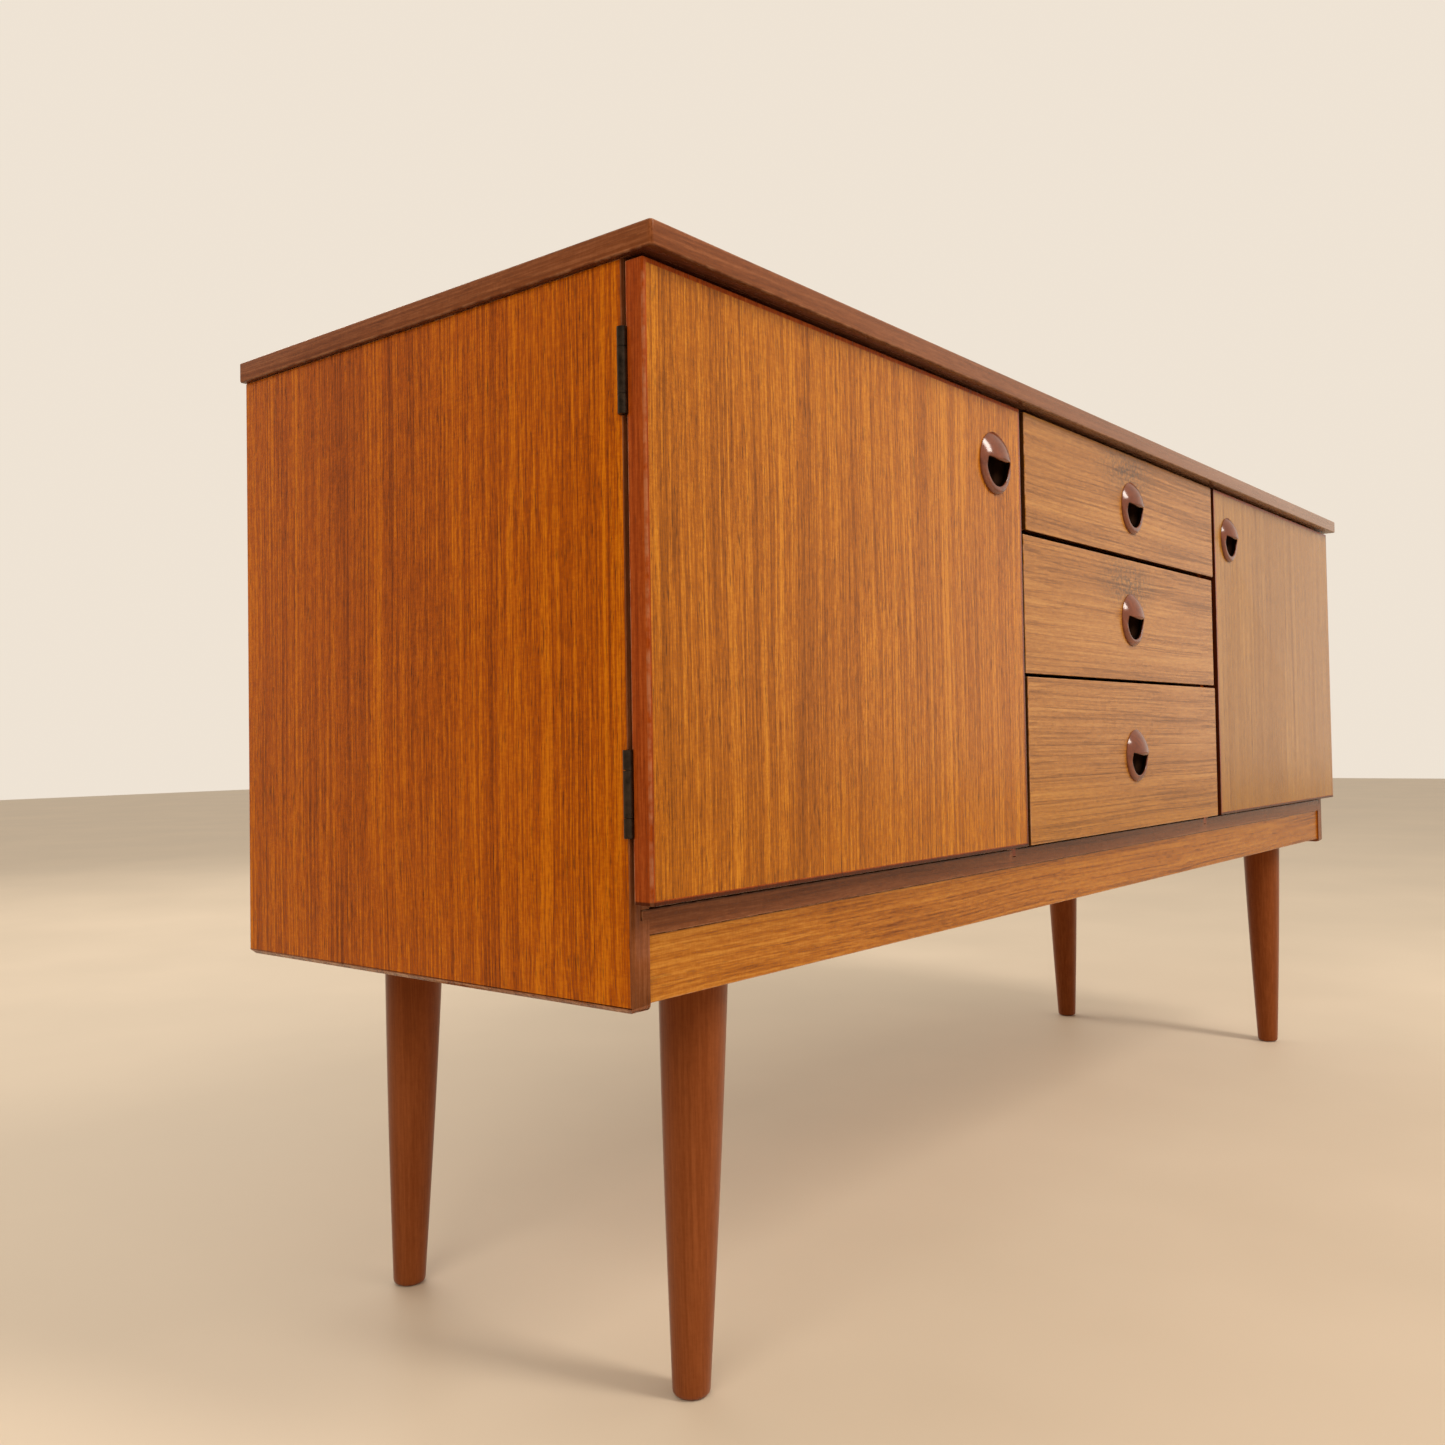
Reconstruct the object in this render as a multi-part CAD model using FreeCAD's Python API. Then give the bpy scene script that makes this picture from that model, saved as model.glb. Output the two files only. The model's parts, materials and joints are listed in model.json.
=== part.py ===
import FreeCAD, Part
import math
import os

os.makedirs("parts", exist_ok=True)

# A free-standing sideboard: two hinged cupboards with three drawers between them, on four turned legs.
# Millimetres, +Z up, +X to the right and +Y to the back as seen from the front.
# The origin is on the floor, under the middle of the top panel.

# ---- driving dimensions ----
body_width = 1524.0          # over the two side panels
overall_height = 756.0       # floor to the upper face of the top
top_depth = 442.0            # front edge to back edge of the top
board = 16.0                 # top, bottom board, partitions, rails and shelves
side_thickness = 17.0        # side panels
top_side_overhang = 5.0      # top past each side panel
top_front_overhang = 11.5    # top past the faces of the doors and drawers
front_thickness = 15.0       # doors and drawer fronts
front_gap = 2.5              # doors and drawer fronts stand this far off the carcass
side_panel_foot = 282.0      # height of the side panels' lower edge
bottom_board_top = 344.0     # height of the cupboard floor
front_bottom = 348.0         # lower edge of the doors and of the lowest drawer front
front_top_gap = 3.0          # between the doors and the underside of the top
bay_half_width = 249.0       # middle to the inner face of a partition
door_inner_edge = 259.0      # middle to the inner edge of a door
lipping = 5.0                # solid strips on the edges of the top, bottom board and partitions
side_edging = 1.0            # thin strip up the front edge of a side panel
foot_strip = 4.0             # solid strip under a side panel, with its outer arris planed off
foot_bevel = 3.0
foot_corner = 4.0            # its rear lower corner is cut off and its front lower corner rounded
door_lipping = 3.0           # solid strips on the door edges
tongue = 6.5                 # barefaced tongues of the housing joints
fit = 0.3                    # working clearance between pieces that move past each other

# ---- derived places ----
side_out = body_width / 2
side_in = side_out - side_thickness
top_half = side_out + top_side_overhang
back = top_depth / 2
top_front = -back
front_face = top_front + top_front_overhang
front_back = front_face + front_thickness
carcass_front = front_back + front_gap
top_underside = overall_height - board
board_underside = bottom_board_top - board
front_top = top_underside - front_top_gap
partition_out = bay_half_width + board

# ---- back, shelves and rails ----
back_panel = 4.0
back_rebate = 8.0
back_inner = back - back_panel
rail_recess = 2.0
rail_bottom = 286.0
shelf_height = 540.0
shelf_front_setback = 14.0
shelf_side_gap = 1.0
pin_radius = 2.5
pin_length = 18.0
pin_out = 8.0
pin_from_front = 50.0
pin_from_back = 55.0

# ---- dowels between the top and the uprights ----
dowel_radius = 4.0
dowel_length = 28.0
dowel_into_top = 10.0

# ---- legs ----
leg_from_side = 121.0
leg_from_front = 52.0
leg_from_back = 55.5
leg_plate = 3.0
leg_plate_side = 64.0
leg_screw_offset = 25.0
leg_top = board_underside - leg_plate
leg_top_radius = 25.6
leg_foot_radius = 13.0
leg_swell = 1.0
leg_foot_round = 4.0
leg_splay = 10.0
leg_lean = math.degrees(math.atan(leg_splay / leg_top))
leg_middle_radius = (leg_top_radius + leg_foot_radius) / 2 + leg_swell
hanger_radius = 4.0
hanger_length = 45.0
hanger_above_plate = 8.0

# ---- hinges ----
knuckle_radius = 3.1
pin_hole_radius = 1.25
hinge_pin_radius = 1.2
hinge_axis_out = 1.6         # axis outside the side panel's face
hinge_height = 53.0
hinge_from_end = 40.0        # door end to the near end of its hinge
end_knuckle = 12.0
leaf = 1.1
leaf_reach = 17.6            # hinge axis to the inner edge of a leaf
knuckle_gap = 0.3
notch_radius = knuckle_radius + 0.4
hinge_x = side_out + hinge_axis_out
hinge_y = carcass_front - front_gap / 2
hinge_starts = (front_bottom + hinge_from_end, front_top - hinge_from_end - hinge_height)
hinge_screw_heights = (0.2, 0.5, 0.8)

# ---- handles ----
handle_radius = 27.0
handle_rise = 11.0
handle_rim = 0.8
handle_plug_radius = 22.5
handle_plug_depth = 9.5
handle_hollow_radius = 20.0
handle_hollow_depth = 8.0
handle_hollow_floor = 12.0
handle_lid_thickness = 2.8
handle_lip = 1.0             # lower edge of the lid above the handle's middle
handle_ring_rise = 3.9       # of the ring round the hollow, below the lid
door_handle_in = 50.0        # from the door's inner edge
door_handle_down = 56.0      # from the door's top edge

# ---- door catches ----
catch_size = (40.0, 20.0, 14.0)
strike_size = (30.0, 1.0, 11.0)
catch_from_partition = 14.0

# ---- drawers: from the top, (lower edge, upper edge, sideways set of the front, box bottom, box top) ----
drawers = {
    "upper": (630.5, front_top, 0.0, 640.0, 722.0),
    "middle": (501.5, 626.0, -6.0, 511.0, 611.0),
    "lower": (front_bottom, 498.5, -3.0, 345.5, 484.0),
}
drawer_front_width = 500.0
drawer_box_half = bay_half_width - 1.0
drawer_side = 14.0
drawer_back_thickness = 12.0
drawer_box_back = back_inner - 30.0
drawer_bottom_thickness = 5.0
drawer_bottom_up = 8.0
drawer_bottom_groove = 6.0
runner_height = 10.0
runner_reach = 8.0
runner_front_setback = 8.0
runner_back_gap = 12.0
groove_height = runner_height + 2 * fit
groove_depth = runner_reach - 1.0 + 2 * fit

# ---- screws ----
screw_shank = 1.4
screw_head = 2.9
screw_length = 11.0


def vec(x, y, z):
    return FreeCAD.Vector(x, y, z)


def block(x, y, z):
    """Box between the (low, high) pairs x, y and z."""
    return Part.makeBox(x[1] - x[0], y[1] - y[0], z[1] - z[0], vec(x[0], y[0], z[0]))


def upright(radius, x, y, z):
    """Round bar along Z between the heights z."""
    return Part.makeCylinder(radius, z[1] - z[0], vec(x, y, z[0]))


def mirrored(shape):
    """The same piece on the other side of the middle plane."""
    return shape.mirror(vec(0, 0, 0), vec(1, 0, 0))


def both_sides(shapes):
    """The left-hand shapes followed by their right-hand mirror images."""
    return list(shapes) + [mirrored(shape) for shape in shapes]


def cut_all(shape, tools):
    for tool in tools:
        shape = shape.cut(tool)
    return shape


def save(node, shapes):
    """Writes one solid, or a group of separate solids, as one node."""
    if not isinstance(shapes, list):
        shapes = [shapes]
    solids = [solid for shape in shapes for solid in shape.Solids]
    whole = solids[0] if len(solids) == 1 else Part.makeCompound(solids)
    whole.exportStep("parts/" + node + ".step")


def screw(length=screw_length):
    """Countersunk screw along -Y: the flat of its head lies on Y = 0."""
    head_depth = screw_head - screw_shank
    outline = [
        vec(0, 0, 0),
        vec(screw_head, 0, 0),
        vec(screw_shank, -head_depth, 0),
        vec(screw_shank, -length + screw_shank, 0),
        vec(0, -length, 0),
        vec(0, 0, 0),
    ]
    face = Part.Face(Part.makePolygon(outline))
    return face.revolve(vec(0, 0, 0), vec(0, 1, 0), 360)


# ---------------------------------------------------------------- hinges

def in_turn(z0):
    """Heights of the three knuckles of the hinge that starts at z0: bottom, middle, top."""
    z1 = z0 + end_knuckle
    z2 = z0 + hinge_height - end_knuckle
    z3 = z0 + hinge_height
    return (z0, z1), (z1 + knuckle_gap, z2 - knuckle_gap), (z2, z3)


def hinge_leaf(z0, knuckles, hole_radius, towards_back):
    """One leaf on the left side, with the knuckles at the given heights rolled on its outer edge."""
    near = knuckle_radius + 0.5
    inner = front_gap / 2
    y = (inner - leaf, inner) if towards_back else (-inner, leaf - inner)
    y = (hinge_y + y[0], hinge_y + y[1])
    plate = block((near - hinge_x, leaf_reach - hinge_x), y, (z0, z0 + hinge_height))
    for low, high in knuckles:
        plate = plate.fuse(block((-hinge_x, near - hinge_x), y, (low, high)))
        plate = plate.fuse(upright(knuckle_radius, -hinge_x, hinge_y, (low, high)))
    bore = upright(hole_radius, -hinge_x, hinge_y, (z0 - 1, z0 + hinge_height + 1))
    return plate.cut(bore).removeSplitter()


def leaf_screws(z0, towards_back):
    """Three screws of one left-hand leaf, heads flush with the leaf's open face."""
    screws = []
    x = -hinge_x + (knuckle_radius + leaf_reach) / 2 + 1
    for share in hinge_screw_heights:
        one = screw()
        if towards_back:
            one.rotate(vec(0, 0, 0), vec(1, 0, 0), 180)
            y = hinge_y + front_gap / 2 - leaf
        else:
            y = hinge_y - front_gap / 2 + leaf
        one.translate(vec(x, y, z0 + share * hinge_height))
        screws.append(one)
    return screws


def hinges():
    carcass_leaves = []
    door_leaves = []
    pins = []
    carcass_screws = []
    door_screws = []
    notches = []
    for z0 in hinge_starts:
        bottom, middle, top = in_turn(z0)
        fixed = leaf_screws(z0, True)
        moving = leaf_screws(z0, False)
        carcass_leaves.append(cut_all(hinge_leaf(z0, (bottom, top), hinge_pin_radius, True), fixed))
        door_leaves.append(cut_all(hinge_leaf(z0, (middle,), pin_hole_radius, False), moving))
        pins.append(upright(hinge_pin_radius, -hinge_x, hinge_y, (z0, z0 + hinge_height)))
        notches.append(upright(notch_radius, -hinge_x, hinge_y, (z0 - fit, z0 + hinge_height + fit)))
        carcass_screws += fixed
        door_screws += moving
    save("hinge_carcass_leaves", both_sides(carcass_leaves))
    save("hinge_pins", both_sides(pins))
    save("hinge_carcass_screws", both_sides(carcass_screws))
    save("left_door_hinge_leaves", door_leaves)
    save("left_door_hinge_screws", door_screws)
    save("right_door_hinge_leaves", [mirrored(one) for one in door_leaves])
    save("right_door_hinge_screws", [mirrored(one) for one in door_screws])
    return notches, carcass_screws, door_screws


# ---------------------------------------------------------------- handles

def arc(start, middle, end):
    return Part.Arc(vec(start[0], start[1], 0), vec(middle[0], middle[1], 0), vec(end[0], end[1], 0)).toShape()


def line(start, end):
    return Part.makeLine(vec(start[0], start[1], 0), vec(end[0], end[1], 0))


def cap_middle(radius, low, high):
    """A point half way out on the round cap that is low at the given radius and high in the middle."""
    rise = high - low
    ball = (radius * radius + rise * rise) / (2 * rise)
    half = radius / 2
    return half, high - ball + math.sqrt(ball * ball - half * half)


def turned(edges):
    """Solid turned about Y from edges in the XY plane."""
    face = Part.Face(Part.Wire(edges))
    return face.revolve(vec(0, 0, 0), vec(0, 1, 0), 360)


def handle_body():
    rim = handle_radius
    plug = handle_plug_radius
    deep = -handle_plug_depth
    dome = arc((rim, handle_rim), cap_middle(rim, handle_rim, handle_rise), (0, handle_rise))
    return turned([
        line((0, handle_rise), (0, deep)),
        line((0, deep), (plug, deep)),
        line((plug, deep), (plug, 0)),
        line((plug, 0), (rim, 0)),
        line((rim, 0), (rim, handle_rim)),
        dome,
    ])


def handle_hollow():
    """Round cup behind the lid, open to the front below the lid's lip, with a low ring round it there."""
    edge = handle_hollow_radius
    deep = -handle_hollow_depth
    flat = handle_hollow_floor
    lid = handle_rise - handle_lid_thickness
    diagonal = math.sqrt(0.5)
    bend = (flat + (edge - flat) * diagonal, deep * diagonal)
    cup = turned([
        line((0, lid), (0, deep)),
        line((0, deep), (flat, deep)),
        arc((flat, deep), bend, (edge, 0)),
        arc((edge, 0), cap_middle(edge, 0, lid), (0, lid)),
    ])
    mouth = Part.makeCylinder(edge, 2 * handle_rise, vec(0, 0, 0), vec(0, 1, 0))
    outside = 1.1 * handle_radius
    above_ring = Part.makeCylinder(outside, 2 * handle_rise, vec(0, handle_ring_rise, 0), vec(0, 1, 0))
    below_lip = block((-outside, outside), (0, 4 * handle_rise), (-outside, handle_lip))
    return cup.fuse(mouth.fuse(above_ring).common(below_lip))


def handle(x, z):
    """Domed round pull on a door or drawer front, with its middle at x, z."""
    shape = handle_body().cut(handle_hollow())
    # The handle is turned with its dome along +Y. A half turn about Z brings the dome to the front.
    shape.rotate(vec(0, 0, 0), vec(0, 0, 1), 180)
    shape.translate(vec(x, front_face, z))
    return shape


def handle_pocket(x, z):
    """Round blind hole in the front that takes the handle's plug."""
    return Part.makeCylinder(handle_plug_radius, handle_plug_depth, vec(x, front_face, z), vec(0, 1, 0))


# ---------------------------------------------------------------- carcass

def top_dowels():
    """Dowels of the left side panel and the left partition."""
    z = (top_underside + dowel_into_top - dowel_length, top_underside + dowel_into_top)
    depth = back_inner - carcass_front
    side_x = -(side_out + side_in) / 2
    partition_x = -(bay_half_width + partition_out) / 2
    dowels = [upright(dowel_radius, side_x, carcass_front + depth * share, z) for share in (0.12, 0.37, 0.62, 0.87)]
    dowels += [upright(dowel_radius, partition_x, carcass_front + depth * share, z) for share in (0.15, 0.5, 0.85)]
    return dowels


def slab(outline, z):
    """Flat piece with the given outline in plan, between the heights z."""
    points = [vec(x, y, z[0]) for x, y in outline]
    face = Part.Face(Part.makePolygon(points + points[:1]))
    return face.extrude(vec(0, 0, z[1] - z[0]))


def top_pieces(dowels):
    """Top panel between a deep front strip and two narrow side strips that meet it in mitres."""
    strip_back = top_front + 2 * top_front_overhang
    inner = top_half - lipping
    z = (top_underside, overall_height)
    panel = block((-inner, inner), (strip_back, back), z)
    front = [(-top_half, top_front), (top_half, top_front), (inner, strip_back), (-inner, strip_back)]
    side = [(-top_half, top_front), (-inner, strip_back), (-inner, back), (-top_half, back)]
    save("top_panel", cut_all(panel, both_sides(dowels)))
    save("top_front_lipping", slab(front, z))
    save("top_side_lippings", both_sides([slab(side, z)]))


def side_housing():
    """Groove in the left side panel for the bottom board's tongue, a little deeper than the tongue."""
    groove_end = side_in + tongue + 1.5
    return block((-groove_end, -side_in), (carcass_front, back_inner), (bottom_board_top - tongue, bottom_board_top))


def partition_housing():
    """Groove in the bottom board for the left partition's tongue."""
    y = (carcass_front, back_inner)
    return block((-bay_half_width - tongue, -bay_half_width), y, (bottom_board_top - tongue - 0.5, bottom_board_top))


def shelf_pins():
    """Eight pins for one left shelf's height: four in the side panel, four in the partition."""
    pins = []
    z = shelf_height - board - pin_radius
    wall = pin_length - pin_out
    for y in (carcass_front + pin_from_front, back - pin_from_back):
        pins.append(Part.makeCylinder(pin_radius, pin_length, vec(-side_in - wall, y, z), vec(1, 0, 0)))
        pins.append(Part.makeCylinder(pin_radius, pin_length, vec(-partition_out - pin_out, y, z), vec(1, 0, 0)))
    return pins


def side_pieces(notches, screws, dowels, pins):
    """Left and right side panels, each with a strip along its front and lower edges."""
    core_front = carcass_front + side_edging
    core_foot = side_panel_foot + foot_strip
    core = block((-side_out, -side_in), (core_front, back), (core_foot, top_underside))
    rebate = block((-side_in - back_rebate, -side_in), (back_inner, back), (board_underside, top_underside))
    core = cut_all(core, [side_housing(), rebate] + dowels + pins + notches + screws)
    edging = block((-side_out, -side_in), (carcass_front, core_front), (core_foot, top_underside))
    edging = cut_all(edging, [side_housing()] + notches + screws)
    foot = side_foot(core_foot)
    save("left_side_panel", core)
    save("left_side_lippings", [edging, foot])
    save("right_side_panel", mirrored(core))
    save("right_side_lippings", [mirrored(edging), mirrored(foot)])


def side_foot(top):
    """Strip under the left side panel: outer arris planed off, rear corner cut, front corner rounded."""
    low = side_panel_foot
    outer = [
        vec(-side_in, 0, low),
        vec(-side_out + foot_bevel, 0, low),
        vec(-side_out, 0, low + foot_bevel),
        vec(-side_out, 0, top),
        vec(-side_in, 0, top),
    ]
    section = Part.Face(Part.makePolygon(outer + outer[:1]))
    section.translate(vec(0, carcass_front, 0))
    strip = section.extrude(vec(0, back - carcass_front, 0))
    diagonal = foot_corner * (1 - math.sqrt(0.5))
    rounding = Part.Arc(vec(0, carcass_front, top), vec(0, carcass_front + diagonal, top - foot_corner + diagonal),
                        vec(0, carcass_front + foot_corner, low)).toShape()
    edges = [
        rounding,
        Part.makeLine(vec(0, carcass_front + foot_corner, low), vec(0, back - foot_corner, low)),
        Part.makeLine(vec(0, back - foot_corner, low), vec(0, back, top)),
        Part.makeLine(vec(0, back, top), vec(0, carcass_front, top)),
    ]
    profile = Part.Face(Part.Wire(edges))
    profile.translate(vec(-side_out, 0, 0))
    return strip.common(profile.extrude(vec(side_thickness, 0, 0)))


def bottom_board(fasteners):
    """Cupboard floor with a tongue at each end, and a solid strip along its front edge."""
    z = (board_underside, bottom_board_top)
    tongue_z = (bottom_board_top - tongue, bottom_board_top)
    tongue_out = side_in + tongue
    core_front = carcass_front + lipping
    grooves = both_sides([partition_housing()])
    core = block((-side_in, side_in), (core_front, back_inner), z)
    core = core.fuse(block((-tongue_out, tongue_out), (core_front, back_inner), tongue_z)).removeSplitter()
    strip = block((-side_in, side_in), (carcass_front, core_front), z)
    strip = strip.fuse(block((-tongue_out, tongue_out), (carcass_front, core_front), tongue_z)).removeSplitter()
    save("bottom_board", cut_all(core, grooves + fasteners))
    save("bottom_board_lipping", cut_all(strip, grooves))


def partitions(dowels, pins):
    """Two uprights beside the drawers, each with a tongue down into the bottom board."""
    core_front = carcass_front + lipping
    z = (bottom_board_top, top_underside)
    tongue_x = (-bay_half_width - tongue, -bay_half_width)
    tongue_z = (bottom_board_top - tongue, bottom_board_top)
    core = block((-partition_out, -bay_half_width), (core_front, back_inner), z)
    core = core.fuse(block(tongue_x, (core_front, back_inner), tongue_z)).removeSplitter()
    core = cut_all(core, dowels + pins)
    strip = block((-partition_out, -bay_half_width), (carcass_front, core_front), z)
    strip = strip.fuse(block(tongue_x, (carcass_front, core_front), tongue_z)).removeSplitter()
    save("left_partition", core)
    save("right_partition", mirrored(core))
    save("partition_lippings", both_sides([strip]))


def rails():
    z = (rail_bottom, board_underside)
    front_y = carcass_front + rail_recess
    save("front_rail", block((-side_in, side_in), (front_y, front_y + board), z))
    save("rear_rail", block((-side_in, side_in), (back_inner - board, back_inner), z))


def back_screws():
    """Screws of the back panel: along the bottom board and up both partitions."""
    screws = []
    columns = (-0.8, -0.4, 0.4, 0.8)
    places = [(share * side_in, bottom_board_top - board / 2) for share in columns]
    for share in (0.15, 0.5, 0.85):
        z = bottom_board_top + share * (top_underside - bottom_board_top)
        places.append((-bay_half_width - board / 2, z))
        places.append((bay_half_width + board / 2, z))
    for x, z in places:
        one = screw(2 * screw_length)
        one.translate(vec(x, back, z))
        screws.append(one)
    return screws


def back_piece(screws):
    half = side_in + back_rebate
    panel = block((-half, half), (back_inner, back), (board_underside, top_underside))
    save("back_panel", cut_all(panel, screws))


def shelves():
    x = (-side_in + shelf_side_gap, -partition_out - shelf_side_gap)
    y = (carcass_front + shelf_front_setback, back_inner - fit)
    shelf = block(x, y, (shelf_height - board, shelf_height))
    save("left_shelf", shelf)
    save("right_shelf", mirrored(shelf))


def catch_parts():
    """Magnetic catch under the top beside the left partition, and its strike plate on the door."""
    width, depth, height = catch_size
    x1 = -partition_out - catch_from_partition
    y0 = carcass_front - 1.2
    catch = block((x1 - width, x1), (y0, y0 + depth), (top_underside - height, top_underside))
    strike_width, strike_thickness, strike_height = strike_size
    middle = x1 - width / 2
    z1 = front_top - door_lipping
    strike = block((middle - strike_width / 2, middle + strike_width / 2),
                   (front_back, front_back + strike_thickness), (z1 - strike_height, z1))
    return catch, strike


# ---------------------------------------------------------------- legs

def leg_places():
    front_y = carcass_front + leg_from_front
    rear_y = back - leg_from_back
    x = side_out - leg_from_side
    return {
        "front_left_leg": (-x, front_y),
        "front_right_leg": (x, front_y),
        "rear_left_leg": (-x, rear_y),
        "rear_right_leg": (x, rear_y),
    }


def leg_shape(x, y):
    """Turned leg, swelling a little in its taper, leaning outwards, cut level at the floor and the plate."""
    foot = leg_foot_radius
    side = foot - leg_foot_round
    diagonal = leg_foot_round * math.sqrt(0.5)
    foot_bend = vec(side + diagonal, leg_foot_round - diagonal, 0)
    taper = Part.Arc(vec(foot, leg_foot_round, 0), vec(leg_middle_radius, leg_top / 2, 0),
                     vec(leg_top_radius, leg_top + 1, 0)).toShape()
    edges = [
        line((0, leg_top + 1), (0, 0)),
        line((0, 0), (side, 0)),
        Part.Arc(vec(side, 0, 0), foot_bend, vec(foot, leg_foot_round, 0)).toShape(),
        taper,
        line((leg_top_radius, leg_top + 1), (0, leg_top + 1)),
    ]
    leg = turned(edges)
    leg.rotate(vec(0, 0, 0), vec(1, 0, 0), 90)
    lean = leg_lean if x < 0 else -leg_lean
    leg.rotate(vec(0, 0, 0), vec(0, 1, 0), lean)
    outward = -leg_splay if x < 0 else leg_splay
    leg.translate(vec(x + outward, y, -0.4))
    reach = 2 * leg_top_radius
    return leg.common(block((x - reach, x + reach), (y - reach, y + reach), (0, leg_top)))


def legs():
    """Legs, the steel plates they hang from, and the bolts and screws that hold them."""
    plates = []
    bolts = []
    screws = []
    half = leg_plate_side / 2
    for node, (x, y) in leg_places().items():
        plate = block((x - half, x + half), (y - half, y + half), (leg_top, board_underside))
        top = board_underside + hanger_above_plate
        bolt = upright(hanger_radius, x, y, (top - hanger_length, top))
        own = []
        for dx in (-leg_screw_offset, leg_screw_offset):
            for dy in (-leg_screw_offset, leg_screw_offset):
                one = screw()
                one.rotate(vec(0, 0, 0), vec(1, 0, 0), -90)
                one.translate(vec(x + dx, y + dy, leg_top))
                own.append(one)
        plates.append(cut_all(plate, own + [bolt]))
        bolts.append(bolt)
        screws += own
        save(node, leg_shape(x, y).cut(bolt))
    save("leg_plates", plates)
    save("leg_hanger_bolts", bolts)
    save("leg_plate_screws", screws)
    return bolts + screws


# ---------------------------------------------------------------- doors and drawers

def door(notches, screws, strike):
    """Left door and its right-hand twin: a veneered panel with four solid edge strips and a handle."""
    x = (-side_out, -door_inner_edge)
    y = (front_face, front_back)
    z = (front_bottom, front_top)
    inner_x = (x[0] + door_lipping, x[1] - door_lipping)
    inner_z = (z[0] + door_lipping, z[1] - door_lipping)
    handle_x = -door_inner_edge - door_handle_in
    handle_z = front_top - door_handle_down
    panel = block(inner_x, y, inner_z)
    panel = cut_all(panel, screws + [handle_pocket(handle_x, handle_z)])
    outer_strip = cut_all(block((x[0], inner_x[0]), y, z), notches)
    strips = [
        outer_strip,
        block((inner_x[1], x[1]), y, z),
        block(inner_x, y, (z[0], inner_z[0])),
        block(inner_x, y, (inner_z[1], z[1])),
    ]
    pull = handle(handle_x, handle_z)
    right_pull = handle(-handle_x, handle_z)
    save("left_door_panel", panel)
    save("left_door_lippings", strips)
    save("left_door_handle", pull)
    save("left_door_strike", strike)
    save("right_door_panel", mirrored(panel))
    save("right_door_lippings", [mirrored(strip) for strip in strips])
    save("right_door_handle", right_pull)
    save("right_door_strike", mirrored(strike))


def drawer(name, low, high, sideways, box_low, box_high):
    """One drawer: front, handle, two grooved sides, back and bottom."""
    half = drawer_front_width / 2
    # The upper drawer's handle is level with the doors' handles.
    handle_z = min((low + high) / 2, front_top - door_handle_down)
    inner = drawer_box_half - drawer_side
    panel_z = (box_low + drawer_bottom_up, box_low + drawer_bottom_up + drawer_bottom_thickness)
    groove = drawer_bottom_groove
    bottom = block((-inner - groove, inner + groove), (front_back - groove, drawer_box_back), panel_z)
    front = block((sideways - half, sideways + half), (front_face, front_back), (low, high))
    front = cut_all(front, [bottom, handle_pocket(sideways, handle_z)])
    runner_z = runner_middle(box_low, box_high)
    slot = block((-drawer_box_half, -drawer_box_half + groove_depth), (front_back, drawer_box_back),
                 (runner_z - groove_height / 2, runner_z + groove_height / 2))
    side = block((-drawer_box_half, -inner), (front_back, drawer_box_back), (box_low, box_high))
    side = cut_all(side, [slot, bottom])
    rear_y = (drawer_box_back - drawer_back_thickness, drawer_box_back)
    rear = block((-inner, inner), rear_y, (panel_z[1], box_high - groove))
    save(name + "_drawer_front", front)
    save(name + "_drawer_handle", handle(sideways, handle_z))
    save(name + "_drawer_sides", both_sides([side]))
    save(name + "_drawer_back", rear)
    save(name + "_drawer_bottom", bottom)


def runner_middle(box_low, box_high):
    return (box_low + box_high) / 2


def drawer_runners():
    """Hardwood strips on the partitions that the grooved drawer sides slide on."""
    runners = []
    y = (carcass_front + runner_front_setback, back_inner - runner_back_gap)
    for low, high, sideways, box_low, box_high in drawers.values():
        middle = runner_middle(box_low, box_high)
        z = (middle - runner_height / 2, middle + runner_height / 2)
        runners.append(block((-bay_half_width, -bay_half_width + runner_reach), y, z))
    save("left_drawer_runners", runners)
    save("right_drawer_runners", [mirrored(runner) for runner in runners])


def build():
    notches, carcass_screws, door_screws = hinges()
    dowels = top_dowels()
    pins = shelf_pins()
    rear_screws = back_screws()
    rear_tools = rear_screws
    left_rear = [one for one in rear_screws if one.BoundBox.XMax < 0]
    leg_fasteners = legs()
    save("top_dowels", both_sides(dowels))
    save("shelf_pins", both_sides(pins))
    save("back_panel_screws", rear_screws)
    top_pieces(dowels)
    side_pieces(notches, carcass_screws, dowels, pins)
    bottom_board(leg_fasteners + rear_tools)
    partitions(dowels + left_rear, pins)
    rails()
    back_piece(rear_tools)
    shelves()
    catch, strike = catch_parts()
    save("door_catches", both_sides([catch]))
    door(notches, door_screws, strike)
    for name, sizes in drawers.items():
        drawer(name, *sizes)
    drawer_runners()


build()
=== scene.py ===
import json
import math

import bmesh
import bpy
from mathutils import Matrix, Vector


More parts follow.
